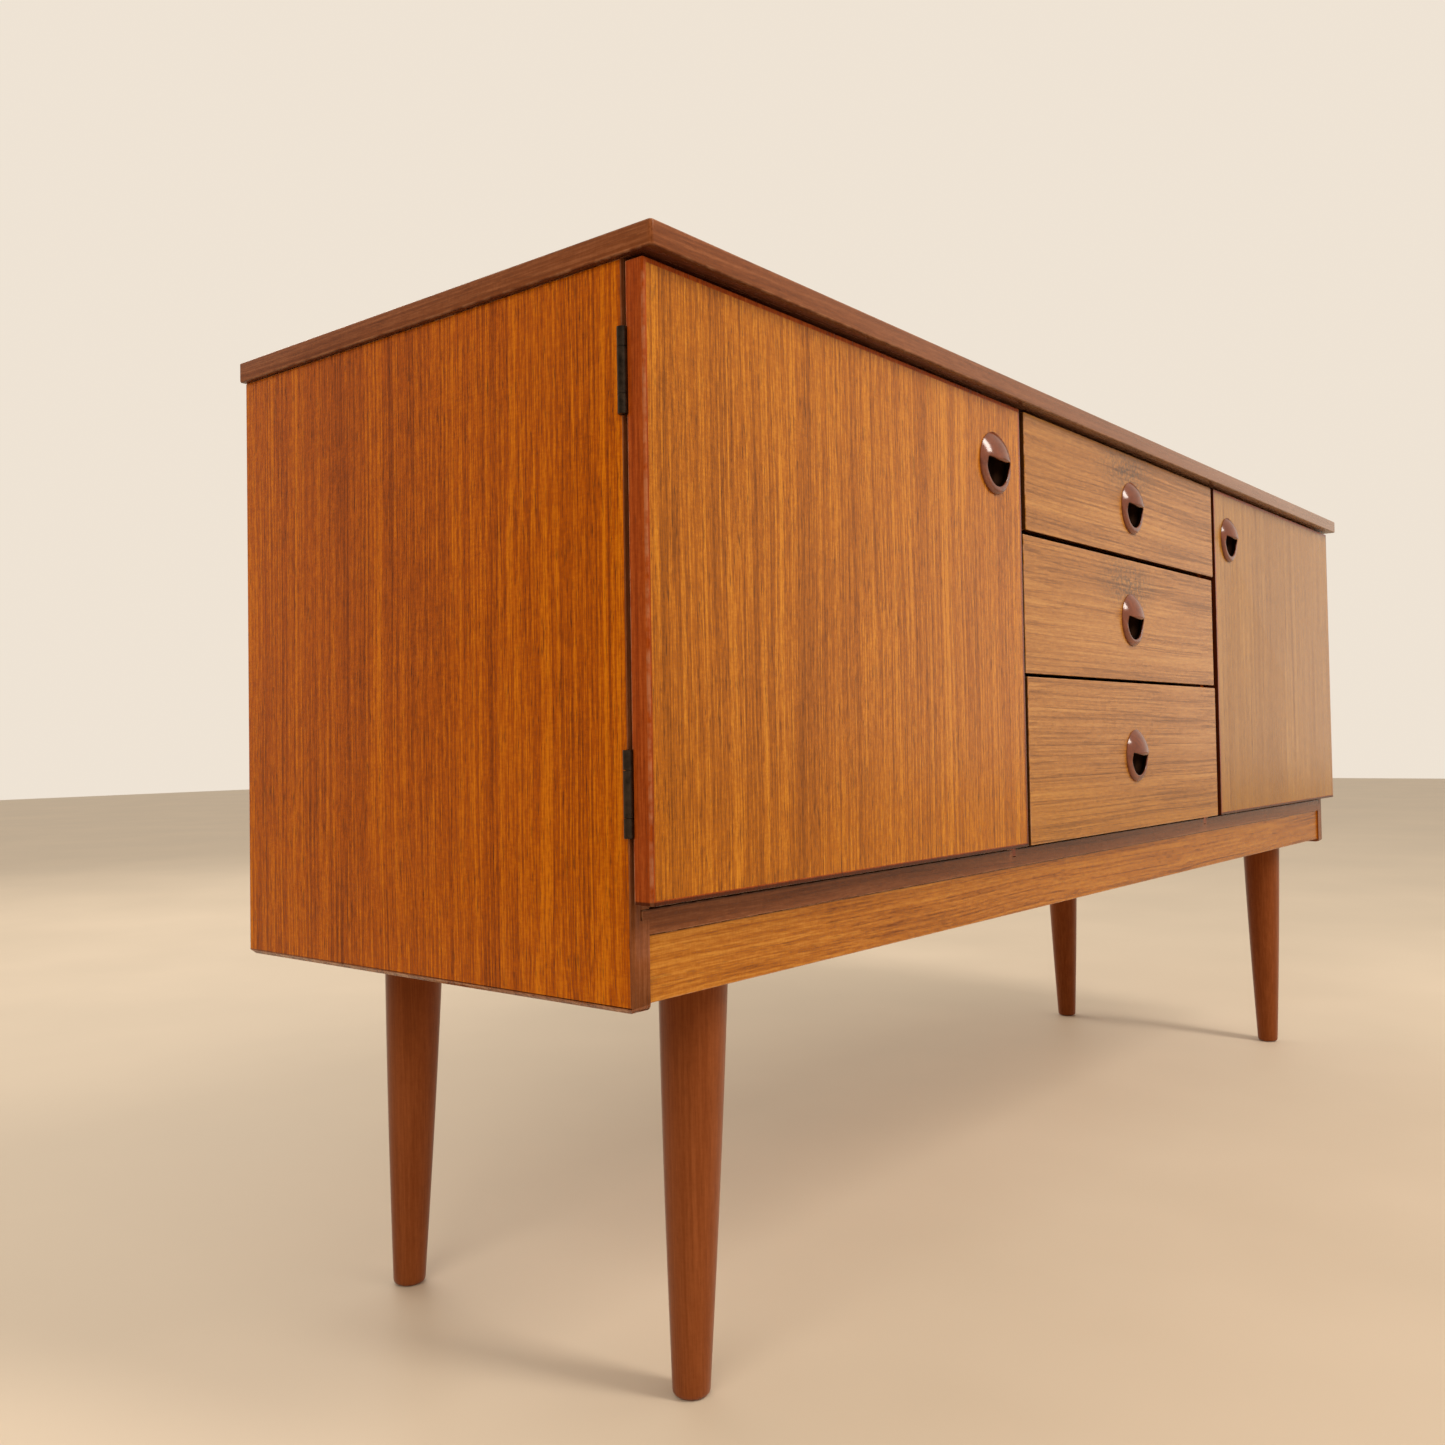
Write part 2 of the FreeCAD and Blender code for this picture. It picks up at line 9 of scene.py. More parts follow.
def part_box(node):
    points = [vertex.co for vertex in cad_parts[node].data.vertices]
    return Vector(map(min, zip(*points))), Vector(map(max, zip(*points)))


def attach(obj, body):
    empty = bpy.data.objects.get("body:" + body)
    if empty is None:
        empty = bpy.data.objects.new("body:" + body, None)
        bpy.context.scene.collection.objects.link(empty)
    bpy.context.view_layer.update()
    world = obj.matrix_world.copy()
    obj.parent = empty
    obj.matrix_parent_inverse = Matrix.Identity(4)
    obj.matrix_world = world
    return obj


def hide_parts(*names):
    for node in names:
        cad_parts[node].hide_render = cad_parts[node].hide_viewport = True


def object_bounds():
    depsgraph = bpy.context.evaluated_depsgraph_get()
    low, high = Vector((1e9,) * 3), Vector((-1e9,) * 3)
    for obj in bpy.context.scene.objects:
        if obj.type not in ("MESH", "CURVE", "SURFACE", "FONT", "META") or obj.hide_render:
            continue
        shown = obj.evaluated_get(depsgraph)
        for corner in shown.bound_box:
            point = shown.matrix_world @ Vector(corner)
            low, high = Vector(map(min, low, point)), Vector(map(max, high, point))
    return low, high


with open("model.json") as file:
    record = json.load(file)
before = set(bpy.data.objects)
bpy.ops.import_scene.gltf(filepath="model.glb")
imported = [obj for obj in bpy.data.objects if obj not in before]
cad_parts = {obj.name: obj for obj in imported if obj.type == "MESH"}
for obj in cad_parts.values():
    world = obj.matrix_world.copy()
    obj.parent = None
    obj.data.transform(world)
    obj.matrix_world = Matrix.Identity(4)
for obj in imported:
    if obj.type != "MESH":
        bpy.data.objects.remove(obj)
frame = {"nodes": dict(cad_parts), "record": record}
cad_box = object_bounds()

# A sideboard with two hinged cupboards, three drawers and four turned legs, finished for its studio
# picture. Metres, +Z up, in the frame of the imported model.

MM = 0.001

# ---- picture ----
CAMERA_PLACE = (-1.3452, -0.7278, 0.4459)
CAMERA_TURN = math.radians(50.29)        # from +Y towards +X
CAMERA_PITCH = math.radians(1.43)        # upwards
CAMERA_ROLL = math.radians(-0.92)
CAMERA_LENS = 32.73                      # millimetres, like the sensor's width
SENSOR_WIDTH = 36.0
CAMERA_SHIFT = (0.0203, -0.0100)
FLOOR_SIZE = 24.0
FLOOR_TONES = ((0.600, 0.495, 0.370), (0.660, 0.550, 0.420))
ROOM_COLOUR = (0.86, 0.77, 0.66, 1.0)
LIGHT_COLOUR = (1.0, 0.93, 0.84)
DIM_SIDE = (-1.0, 0.0, 0.0)
DIM_GLOW = 0.25                          # as shares of the room's own brightness
WINDOW_SIDE = (0.94, -0.34, 0.0)
WINDOW_GLOW = 1.3

# ---- shapes ----
WELD = 2e-6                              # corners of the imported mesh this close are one
FLAT_ANGLE = math.radians(1.0)           # faces within this angle are one face
SHARP_ANGLE = math.radians(38.0)
BOX_REACH = 0.05 * MM                    # how near a corner is to a side of a box to lie on it

TOP_ARRIS = 1.4 * MM
TOP_CORNER = 3.0 * MM
CORNER_STEPS = 6
CORNER_FAN = 2.0 * MM                    # keeps the stations round a corner from crossing
DOOR_ARRIS = 1.8 * MM
FRONT_ARRIS = 0.8 * MM
BOARD_ARRIS = 0.5 * MM
METAL_ARRIS = 0.35 * MM
ARRIS_WEAR = 1.0
BARE_WEAR = 2.0
BARE_SLOPE = 0.3                         # how far a face leans outwards and downwards to be left bare

HANDLE_STEPS = 128                       # round the handle
FACE_LOOPS = 24
LIP_LOOPS = 5
WALL_LOOPS = 8
CUP_LOOPS = 8
FACE_CROWDING = 1.5                      # loops lie closer together at the rim
LID_CROWN = 0.8                          # how full the lid is underneath
HANDLE_RISE = 11.0 * MM
HANDLE_RIM = 0.8 * MM
RING_RISE = 3.9 * MM
LID_START = -6.0 * MM                    # the ring swells into the lid between these heights
LID_END = 3.0 * MM
LID_THICKNESS = 2.8 * MM
MOUTH_RADIUS = 20.3 * MM
MOUTH_MIDDLE = -8.0 * MM
LIP_MIDDLE = 0.2 * MM
LIP_HANG = 3.6 * MM                      # the lip's ends stand this far above its middle
LIP_ROUND = 0.9 * MM
EAR_SHARPNESS = 16.0
CUP_RADIUS = 20.9 * MM
CUP_FLOOR = 12.0 * MM
CUP_DEPTH = 8.0 * MM
PLUG_RADIUS = 22.5 * MM
LEG_STEPS = 64
LEG_LOOPS = 40
FOOT_LOOPS = 4
LEG_TOP_X = 641.0 * MM                   # middles of the legs' tops, either side of the middle
LEG_TOP_RADIUS = 25.6 * MM
LEG_FOOT_RADIUS = 13.0 * MM
LEG_SWELL = 1.0 * MM
LEG_FOOT_ROUND = 4.0 * MM

# ---- finishes ----
TIMBER_SHEEN = (0.12, 0.08, 0.05, 1.0)   # head on; glancing reflections stay white
DARK_ROUGHNESS = 0.06
PALE_SMOOTHNESS = 0.04
PORE_ROUGHNESS = 0.15
GRAIN_BUMP = 0.16
GRAIN_DEPTH = 0.15 * MM
RUB_SCALE = 90.0
# How dark the painted shade on the drawer fronts' edges gets.
EDGE_SHADE_COVER = 0.85
GLOSS_IOR = 1.5
FIGURE = {
    # scale across the grain, share of it along, detail, roughness, half of the noise's range, weight
    "bands": (26.0, 0.03, 2.0, 0.5, 0.14, 0.07),
    "stripes": (150.0, 0.006, 3.0, 0.6, 0.16, 0.16),
    "lines": (480.0, 0.006, 3.0, 0.7, 0.13, 0.30),
    "dashes": (700.0, 0.12, 2.0, 0.6, 0.14, 0.17),
    "cross flecks": (190.0, 3.0, 2.0, 0.6, 0.15, 0.08),
}
DRIFT_SCALE = 6.0                        # of the grain's gentle waves
DRIFT_ALONG = 0.45
DRIFT_REACH = 8.0                        # noise strays about an eighth from its middle
MIDDLE_TONE = 0.55
MARKS_LEFT = 8.0 * MM                    # of the handle's middle
MARKS_UP = 11.0 * MM                     # from the handle's top
MARKS_TIGHTNESS = (11.0, 0.0, 29.0)      # one over their reach in metres, across and up
MARKS_COVER = 0.75
SPOT_SCALE = 230.0
# How dark the painted shade on the door edges, in the gap and in the rail joint gets.
DOOR_EDGE_SHADE_COVER = 0.85
GAP_SHADE_COVER = 0.9
PAINTED_HAZE_SHARE = 0.6
RING_SCALE = 190.0
RING_ALONG = 0.003
RING_WIDTH = 0.05                        # of the noise, either side of its middle
PORE_SCALE = 850.0
PORE_ALONG = 0.08
PATCH_SCALE = 3.1
PATCH_WEIGHT = 0.06


# ---------------------------------------------------------------- frame

def body_of(node):
    """Name of the body that a CAD node belongs to."""
    bodies = frame["record"]["behaviour"]["bodies"]
    return next(body for body, members in bodies.items() if node in members)


def box_of(*nodes):
    """Lowest and highest corners of several CAD nodes together."""
    boxes = [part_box(node) for node in nodes]
    low = Vector([min(box[0][axis] for box in boxes) for axis in range(3)])
    high = Vector([max(box[1][axis] for box in boxes) for axis in range(3)])
    return low, high


def piece(name, mesh, material, slot, *nodes):
    """Object that stands for the given CAD nodes and rides with the first one's body."""
    mesh.materials.clear()
    mesh.materials.append(material)
    made = bpy.data.objects.new(name, mesh)
    bpy.context.scene.collection.objects.link(made)
    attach(made, body_of(nodes[0]))
    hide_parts(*nodes)
    return made


def finished_mesh(name, builder):
    """Mesh from a bmesh, smooth shaded except over its sharp edges."""
    bmesh.ops.recalc_face_normals(builder, faces=builder.faces)
    for face in builder.faces:
        face.smooth = True
    mesh = bpy.data.meshes.new(name)
    builder.to_mesh(mesh)
    builder.free()
    mesh.set_sharp_from_angle(angle=SHARP_ANGLE)
    return mesh


def weighted(made):
    """Large flat faces keep their flat shading beside rounded arrises."""
    modifier = made.modifiers.new("flat faces stay flat", "WEIGHTED_NORMAL")
    modifier.keep_sharp = True
    return made


# ---------------------------------------------------------------- boards

def box_sides(point, low, high):
    """The sides of a box that a point lies on, as a set of (axis, end)."""
    sides = set()
    for axis in range(3):
        if abs(point[axis] - low[axis]) < BOX_REACH:
            sides.add((axis, 0))
        if abs(point[axis] - high[axis]) < BOX_REACH:
            sides.add((axis, 1))
    return sides


def outer_arrises(builder, low, high):
    """Edges that run along an edge of the box."""
    found = []
    for edge in builder.edges:
        shared = box_sides(edge.verts[0].co, low, high) & box_sides(edge.verts[1].co, low, high)
        if len({axis for axis, end in shared}) > 1:
            found.append(edge)
    return found


def rounded(builder, edges, arris, segments, wear):
    """Rounds edges and marks the faces made as worn."""
    if edges:
        made = bmesh.ops.bevel(builder, geom=edges, offset=arris, segments=segments, profile=0.5,
                               affect="EDGES", clamp_overlap=True)
        for face in made["faces"]:
            face[wear] = ARRIS_WEAR


def refined(node, material, slot, arris, hull=None, segments=3, wide_x=None, bare=None):
    """A CAD node's mesh with flat faces merged and the arrises on its hull rounded, more so at the upright
    edges at x = wide_x. The rounded faces are marked as worn, and so are those that bare picks."""
    low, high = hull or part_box(node)
    builder = bmesh.new()
    builder.from_mesh(frame["nodes"][node].data)
    bmesh.ops.remove_doubles(builder, verts=builder.verts, dist=WELD)
    bmesh.ops.dissolve_limit(builder, angle_limit=FLAT_ANGLE, verts=builder.verts, edges=builder.edges)
    wear = builder.faces.layers.float.new("wear")
    for face in builder.faces:
        if bare and bare(face):
            face[wear] = BARE_WEAR
    if wide_x is not None:
        upright = [edge for edge in outer_arrises(builder, low, high)
                   if all(abs(vert.co.x - wide_x) < BOX_REACH for vert in edge.verts)
                   and abs(edge.verts[0].co.y - edge.verts[1].co.y) < BOX_REACH]
        rounded(builder, upright, DOOR_ARRIS, segments, wear)
    rounded(builder, outer_arrises(builder, low, high), arris, segments, wear)
    return weighted(piece(node + "_finished", finished_mesh(node, builder), material, slot, node))


def band_section(width, low, high, round_edge, steps=4):
    """Section of a lipping as (depth in from its outer face, height), from its upper inner corner round to
    its lower one."""
    quarter = [math.pi / 2 * step / steps for step in range(steps + 1)]
    upper = [(round_edge * (1 - math.sin(angle)), high - round_edge * (1 - math.cos(angle)))
             for angle in quarter]
    lower = [(depth, low + high - height) for depth, height in reversed(upper)]
    return [(width, high)] + upper + lower + [(width, low)]


# ---------------------------------------------------------------- materials

class Graph:
    """Shader nodes of one material, wired by short calls."""

    def __init__(self, name):
        self.material = bpy.data.materials.new(name)
        self.material.use_nodes = True
        self.tree = self.material.node_tree
        self.shader = self.tree.nodes["Principled BSDF"]

    def node(self, kind, values=None, **settings):
        made = self.tree.nodes.new(kind)
        for key, value in settings.items():
            setattr(made, key, value)
        for key, value in (values or {}).items():
            self.feed(made.inputs[key], value)
        return made

    def feed(self, socket, value):
        if isinstance(value, bpy.types.NodeSocket):
            self.tree.links.new(value, socket)
        else:
            socket.default_value = value

    def set(self, **values):
        """Feeds the shader's sockets, named with underscores for spaces."""
        for key, value in values.items():
            self.feed(self.shader.inputs[key.replace("_", " ")], value)

    def place(self):
        return self.node("ShaderNodeTexCoord").outputs["Object"]

    def math(self, operation, first, second=0.0):
        return self.node("ShaderNodeMath", {0: first, 1: second}, operation=operation).outputs[0]

    def vector(self, operation, first, second):
        return self.node("ShaderNodeVectorMath", {0: first, 1: second}, operation=operation).outputs[0]

    def noise(self, place, scale, detail=2.0, roughness=0.5, distortion=0.0):
        values = {"Vector": place, "Scale": scale, "Detail": detail, "Roughness": roughness,
                  "Distortion": distortion}
        return self.node("ShaderNodeTexNoise", values).outputs["Fac"]

    def noise_vector(self, place, scale, detail=1.0):
        values = {"Vector": place, "Scale": scale, "Detail": detail}
        return self.node("ShaderNodeTexNoise", values).outputs["Color"]

    def level(self, value, low, high, to_low=0.0, to_high=1.0):
        """value spread from low..high over to_low..to_high, and held there beyond."""
        values = {"Value": value, "From Min": low, "From Max": high, "To Min": to_low, "To Max": to_high}
        return self.node("ShaderNodeMapRange", values, clamp=True).outputs["Result"]

    def ramp(self, value, *stops):
        made = self.node("ShaderNodeValToRGB", {"Fac": value})
        elements = made.color_ramp.elements
        while len(elements) < len(stops):
            elements.new(0.5)
        for element, (position, colour) in zip(elements, stops):
            element.position = position
            element.color = colour4(colour)
        return made.outputs["Color"]

    def mix(self, share, first, second):
        made = self.node("ShaderNodeMix", data_type="RGBA")
        share_in, first_in, second_in = made.inputs[0], made.inputs[6], made.inputs[7]
        self.feed(share_in, share)
        self.feed(first_in, colour4(first))
        self.feed(second_in, colour4(second))
        return made.outputs[2]

    def attribute(self, name):
        return self.node("ShaderNodeAttribute", attribute_name=name).outputs["Fac"]

    def bump(self, height, strength, distance):
        values = {"Height": height, "Strength": strength, "Distance": distance}
        return self.node("ShaderNodeBump", values).outputs["Normal"]


def colour4(value):
    """A colour with its alpha; a socket passes through."""
    return value if isinstance(value, bpy.types.NodeSocket) else (*value, 1.0)


def along_grain(grain, along):
    """Scale that leaves the cross grain alone and shrinks the axis the grain runs on."""
    return tuple(along if axis == grain else 1.0 for axis in "xyz")


def wood(name, grain, tones, pore, shift=(0.0, 0.0, 0.0), wave=1.5 * MM, bold=1.0, rings=0.2, pores=0.6,
         gloss=0.24, wear=0.7, underside_shade=None, edges=None, colour_overlay=None):
    """Oiled or lacquered timber: bands, stripes, lines, dashes and thin growth rings drawn out along the
    grain, dark pores, faint cross flecks, and pale wear on its arrises. bold, rings and pores say how strong
    the figure, the rings and the pores are, and shift moves the figure."""
    g = Graph(name)
    place = g.vector("ADD", g.place(), shift)
    drift = g.noise_vector(g.vector("MULTIPLY", place, along_grain(grain, DRIFT_ALONG)), DRIFT_SCALE)
    drift = g.vector("MULTIPLY", g.vector("SUBTRACT", drift, (0.5,) * 3), (wave * DRIFT_REACH,) * 3)
    bent = g.vector("ADD", place, drift)

    def layer(kind, at=bent):
        scale, along, detail, rough, half_range, weight = FIGURE[kind]
        noise = g.noise(g.vector("MULTIPLY", at, along_grain(grain, along)), scale, detail, rough)
        return noise, g.level(noise, 0.5 - half_range, 0.5 + half_range, -weight * bold, weight * bold)

    lines, fine = layer("lines")
    tone = g.math("ADD", layer("bands")[1], MIDDLE_TONE)
    for part in (layer("stripes")[1], fine, layer("dashes")[1], layer("cross flecks", place)[1]):
        tone = g.math("ADD", tone, part)
    growth = g.noise(g.vector("MULTIPLY", bent, along_grain(grain, RING_ALONG)), RING_SCALE, 1.0)
    from_ring = g.math("ABSOLUTE", g.math("SUBTRACT", growth, 0.5))
    tone = g.math("SUBTRACT", tone, g.level(from_ring, 0.0, RING_WIDTH, rings, 0.0))
    patches = g.noise(place, PATCH_SCALE, 2.0)
    tone = g.math("ADD", tone, g.level(patches, 0.35, 0.65, -PATCH_WEIGHT, PATCH_WEIGHT))
    colour = g.ramp(tone, *zip((0.0, 0.5, 1.0), tones))

    flecks = g.noise(g.vector("MULTIPLY", bent, along_grain(grain, PORE_ALONG)), PORE_SCALE, 2.0, 0.6)
    pits = g.level(flecks, 0.58, 0.70, 0.0, pores)
    colour = g.mix(pits, colour, pore)
    facing = g.node("ShaderNodeSeparateXYZ", {0: g.node("ShaderNodeTexCoord").outputs["Normal"]}).outputs
    # Painted shade: faces turned downwards take a darker colour, standing in for the shade under the top's
    # overhang.
    if underside_shade:
        colour = g.mix(g.level(facing["Z"], -0.5, -0.9), colour, underside_shade)
    # Painted shade: faces that do not face the front or back are darkened nearly to black, standing in for
    # the shade in the gaps round the drawer fronts.
    if edges:
        sideways = g.level(g.math("ABSOLUTE", facing["Y"]), 0.45, 0.25, 0.0, EDGE_SHADE_COVER)
        colour = g.mix(sideways, colour, edges)
    # The overlay adds real handling grime on the upper two drawers, painted shade on the door edges, bottom
    # lipping and rails, and painted haze on the top's front lipping.
    if colour_overlay:
        colour = colour_overlay(g, colour)

    rub = g.level(g.noise(place, RUB_SCALE, 3.0, 0.6), 0.40, 0.62)
    rubbed = g.math("MULTIPLY", g.attribute("wear"), rub)
    colour = g.mix(g.math("MULTIPLY", rubbed, wear), colour, WORN)

    roughness = g.level(tone, 0.1, 0.9, gloss + DARK_ROUGHNESS, gloss - PALE_SMOOTHNESS)
    roughness = g.math("ADD", roughness, g.math("MULTIPLY", pits, PORE_ROUGHNESS))
    height = g.math("SUBTRACT", g.math("MULTIPLY", lines, 0.5), pits)
    g.set(Base_Color=colour, Roughness=roughness, Normal=g.bump(height, GRAIN_BUMP, GRAIN_DEPTH))
    g.shader.inputs["IOR"].default_value = GLOSS_IOR
    g.shader.inputs["Specular Tint"].default_value = TIMBER_SHEEN
    return g.material


def handling_marks(handle):
    """Grime that hands have left on the veneer over a handle, as a function for wood() to call."""
    low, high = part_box(handle)
    centre = ((low.x + high.x) / 2 - MARKS_LEFT, 0.0, high.z + MARKS_UP)

    def colour_overlay(g, colour):
        offset = g.vector("MULTIPLY", g.vector("SUBTRACT", g.place(), centre), MARKS_TIGHTNESS)
        far = g.node("ShaderNodeVectorMath", {0: offset}, operation="LENGTH").outputs["Value"]
        near = g.level(far, 0.25, 1.0, 1.0, 0.0)
        spots = g.level(g.noise(g.place(), SPOT_SCALE, 4.0, 0.7), 0.42, 0.60)
        share = g.math("MULTIPLY", g.math("MULTIPLY", near, spots), MARKS_COVER)
        return g.mix(share, colour, HAND_GRIME)

    return colour_overlay


def door_edge_painted_shade(g, colour):
    """Painted shade on the doors' edges where they meet the drawers and along their feet, standing in for
    the dark gaps.
    """
    low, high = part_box("right_door_lippings")
    place = g.node("ShaderNodeSeparateXYZ", {0: g.place()}).outputs
    inner = g.level(g.math("ABSOLUTE", place["X"]), low.x + 1.2 * MM, low.x + 0.6 * MM)
    foot = g.level(place["Z"], low.z + 2.8 * MM, low.z + 1.8 * MM)
    return g.mix(g.math("MULTIPLY", g.math("MAXIMUM", inner, foot), DOOR_EDGE_SHADE_COVER), colour, GAP_PAINTED_SHADE)


def painted_haze(g, colour):
    """Painted haze: a pale reflection painted over the stain, stronger towards the right-hand end."""
    place = g.node("ShaderNodeSeparateXYZ", {0: g.place()}).outputs
    return g.mix(g.level(place["X"], cad_box[0].x, cad_box[1].x, 0.0, PAINTED_HAZE_SHARE), colour, PAINTED_HAZE_COLOUR)


def gap_shadow(g, colour):
    """Painted shade on the bottom board's front arris, in the gap under the doors."""
    low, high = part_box("bottom_board_lipping")
    place = g.node("ShaderNodeSeparateXYZ", {0: g.place()}).outputs
    front = g.level(place["Y"], low.y + 4.0 * MM, low.y + 2.5 * MM)
    top = g.level(place["Z"], high.z - 1.8 * MM, high.z - 0.6 * MM)
    return g.mix(g.math("MULTIPLY", g.math("MULTIPLY", front, top), GAP_SHADE_COVER), colour, GAP_PAINTED_SHADE)


def rail_joint_painted_shade(g, colour):
    """Painted shade in the joint between a rail's upper edge and the bottom board over it."""
    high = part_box("front_rail")[1]
    height = g.node("ShaderNodeSeparateXYZ", {0: g.place()}).outputs["Z"]
    joint = g.level(height, high.z - 1.3 * MM, high.z - 0.6 * MM, 0.0, GAP_SHADE_COVER)
    return g.mix(joint, colour, GAP_PAINTED_SHADE)


def bronze():
    """Dark oxidised metal with rubbed edges."""
    g = Graph("hinge_bronze")
    place = g.place()
    cloud = g.level(g.noise(place, 220.0, 4.0, 0.6), 0.3, 0.7)
    colour = g.ramp(cloud, (0.0, (0.020, 0.014, 0.009)), (1.0, (0.060, 0.040, 0.026)))
    rubbed = g.math("MULTIPLY", g.attribute("wear"), g.level(g.noise(place, 400.0, 3.0), 0.4, 0.7))
    colour = g.mix(g.math("MULTIPLY", rubbed, 0.5), colour, (0.26, 0.17, 0.09))
    g.set(Base_Color=colour, Roughness=g.level(cloud, 0.0, 1.0, 0.34, 0.5),
          Normal=g.bump(cloud, 0.15, 0.1 * MM))
    g.shader.inputs["Metallic"].default_value = 0.75
    return g.material


def handle_gloss():
    """Brown moulding with a soft gloss, a faint swirl and fine scuffs; its hollow is darkened with painted
    shade.
    """
    g = Graph("handle_brown")
    place = g.place()
    swirl = g.noise(place, 60.0, 3.0, 0.6, 1.5)
    colour = g.ramp(g.level(swirl, 0.3, 0.7), (0.0, (0.125, 0.029, 0.011)), (1.0, (0.200, 0.052, 0.020)))
    scuff = g.level(g.noise(place, 900.0, 3.0, 0.7), 0.45, 0.75)
    colour = g.mix(g.math("MULTIPLY", scuff, 0.10), colour, (0.34, 0.20, 0.13))
    # Painted shade: the hollow behind the mouth is made near black, metallic and rougher, so that it neither
    # lights up nor reflects.
    inside = g.attribute("painted_hollow_shade")
    colour = g.mix(inside, colour, (0.020, 0.008, 0.004))
    roughness = g.math("ADD", g.level(scuff, 0.0, 1.0, 0.13, 0.22), g.math("MULTIPLY", inside, 0.5))
    g.set(Base_Color=colour, Metallic=inside, Roughness=roughness, Normal=g.bump(swirl, 0.04, 0.2 * MM))
    g.shader.inputs["IOR"].default_value = GLOSS_IOR
    return g.material


def steel():
    g = Graph("bright_steel")
    cloud = g.level(g.noise(g.place(), 500.0, 3.0, 0.6), 0.3, 0.7)
    colour = g.ramp(cloud, (0.0, (0.34, 0.33, 0.31)), (1.0, (0.52, 0.50, 0.46)))
    g.set(Base_Color=colour, Roughness=g.level(cloud, 0.0, 1.0, 0.28, 0.42),
          Normal=g.bump(cloud, 0.1, 0.05 * MM))
    g.shader.inputs["Metallic"].default_value = 1.0
    return g.material


def catch_plastic():
    g = Graph("catch_plastic")
    cloud = g.noise(g.place(), 300.0, 3.0, 0.6)
    colour = g.ramp(cloud, (0.3, (0.50, 0.46, 0.38)), (0.7, (0.62, 0.58, 0.50)))
    g.set(Base_Color=colour, Roughness=g.level(cloud, 0.3, 0.7, 0.4, 0.5),
          Normal=g.bump(cloud, 0.1, 0.05 * MM))
    return g.material


def hardboard():
    """Brown pressed fibre board with a leathery face."""
    g = Graph("back_hardboard")
    place = g.place()
    fibres = g.noise(g.vector("MULTIPLY", place, (1.0, 1.0, 0.8)), 420.0, 4.0, 0.7, 0.6)
    cloud = g.noise(place, 14.0, 3.0)
    colour = g.ramp(g.level(cloud, 0.3, 0.7), (0.0, (0.105, 0.052, 0.024)), (1.0, (0.150, 0.078, 0.038)))
    colour = g.mix(g.level(fibres, 0.45, 0.7, 0.0, 0.4), colour, (0.23, 0.135, 0.072))
    g.set(Base_Color=colour, Roughness=g.level(fibres, 0.3, 0.7, 0.62, 0.78),
          Normal=g.bump(fibres, 0.25, 0.15 * MM))
    return g.material


PORE = (0.040, 0.009, 0.001)
LEG_PORE = (0.030, 0.008, 0.003)
HAND_GRIME = (0.045, 0.024, 0.014)
WORN = (0.52, 0.27, 0.14)
# Pale painted haze, standing in for a grazing reflection on the top's front lipping.
PAINTED_HAZE_COLOUR = (0.29, 0.165, 0.095)
# Painted shade colours: the first for faces turned downwards, the second for gaps and joints.
UNDERSIDE_PAINTED_SHADE = (0.075, 0.019, 0.008)
GAP_PAINTED_SHADE = (0.030, 0.006, 0.002)

TEAK_SIDE = ((0.200, 0.038, 0.0002), (0.400, 0.083, 0.0004), (0.610, 0.172, 0.0015))
TEAK_DOOR = ((0.200, 0.054, 0.0008), (0.370, 0.108, 0.0040), (0.570, 0.212, 0.0130))
# Paler copy of the door veneer: painted haze standing in for a grazing reflection on the right door.
TEAK_DOOR_PAINTED_HAZE = ((0.190, 0.068, 0.0030), (0.315, 0.126, 0.0110), (0.460, 0.220, 0.0290))
TEAK_DRAWER = ((0.195, 0.068, 0.0080), (0.370, 0.143, 0.0230), (0.510, 0.236, 0.0500))
TEAK_RAIL = ((0.160, 0.038, 0.0020), (0.380, 0.122, 0.0100), (0.530, 0.215, 0.0280))
TEAK_TOP = ((0.150, 0.030, 0.0020), (0.380, 0.105, 0.0090), (0.540, 0.190, 0.0260))
EDGE_STRIP = ((0.105, 0.027, 0.007), (0.200, 0.060, 0.019), (0.31, 0.112, 0.044))
DOOR_STRIP = ((0.120, 0.018, 0.001), (0.280, 0.045, 0.004), (0.44, 0.095, 0.014))
INSIDE = ((0.220, 0.090, 0.034), (0.42, 0.200, 0.085), (0.56, 0.310, 0.150))
BEECH = ((0.420, 0.235, 0.115), (0.56, 0.345, 0.185), (0.68, 0.455, 0.270))
PLYWOOD = ((0.460, 0.290, 0.150), (0.58, 0.385, 0.215), (0.68, 0.480, 0.290))
LEG_STAIN = ((0.090, 0.019, 0.005), (0.205, 0.052, 0.013), (0.330, 0.098, 0.029))
BEECH_PORE = (0.30, 0.15, 0.07)

side_veneer = wood("teak_side_veneer", "z", TEAK_SIDE, PORE)
door_veneers = {
    "left": wood("teak_left_door_veneer", "z", TEAK_DOOR, PORE, shift=(0.4, 1.7, 0.3)),
    # The right door gets the paler veneer and weaker figure: painted haze for a grazing reflection.
    "right": wood("teak_right_door_veneer", "z", TEAK_DOOR_PAINTED_HAZE, PORE, shift=(0.4, 1.7, 0.3), bold=0.7,
                  pores=0.4),
}
drawer_veneers = {}
for number, drawer in enumerate(("upper", "middle", "lower")):
    marks = handling_marks(drawer + "_drawer_handle") if drawer != "lower" else None
    # Their edges take a near-black painted shade for the gaps round the fronts; the marks over the handles
    # are real grime.
    drawer_veneers[drawer] = wood(
        "teak_" + drawer + "_drawer_veneer", "x", TEAK_DRAWER, PORE, shift=(0.7 * number, 2.6, 0.9),
        wave=1.4 * MM, bold=0.75, rings=0.34, pores=0.2, edges=GAP_PAINTED_SHADE, colour_overlay=marks)
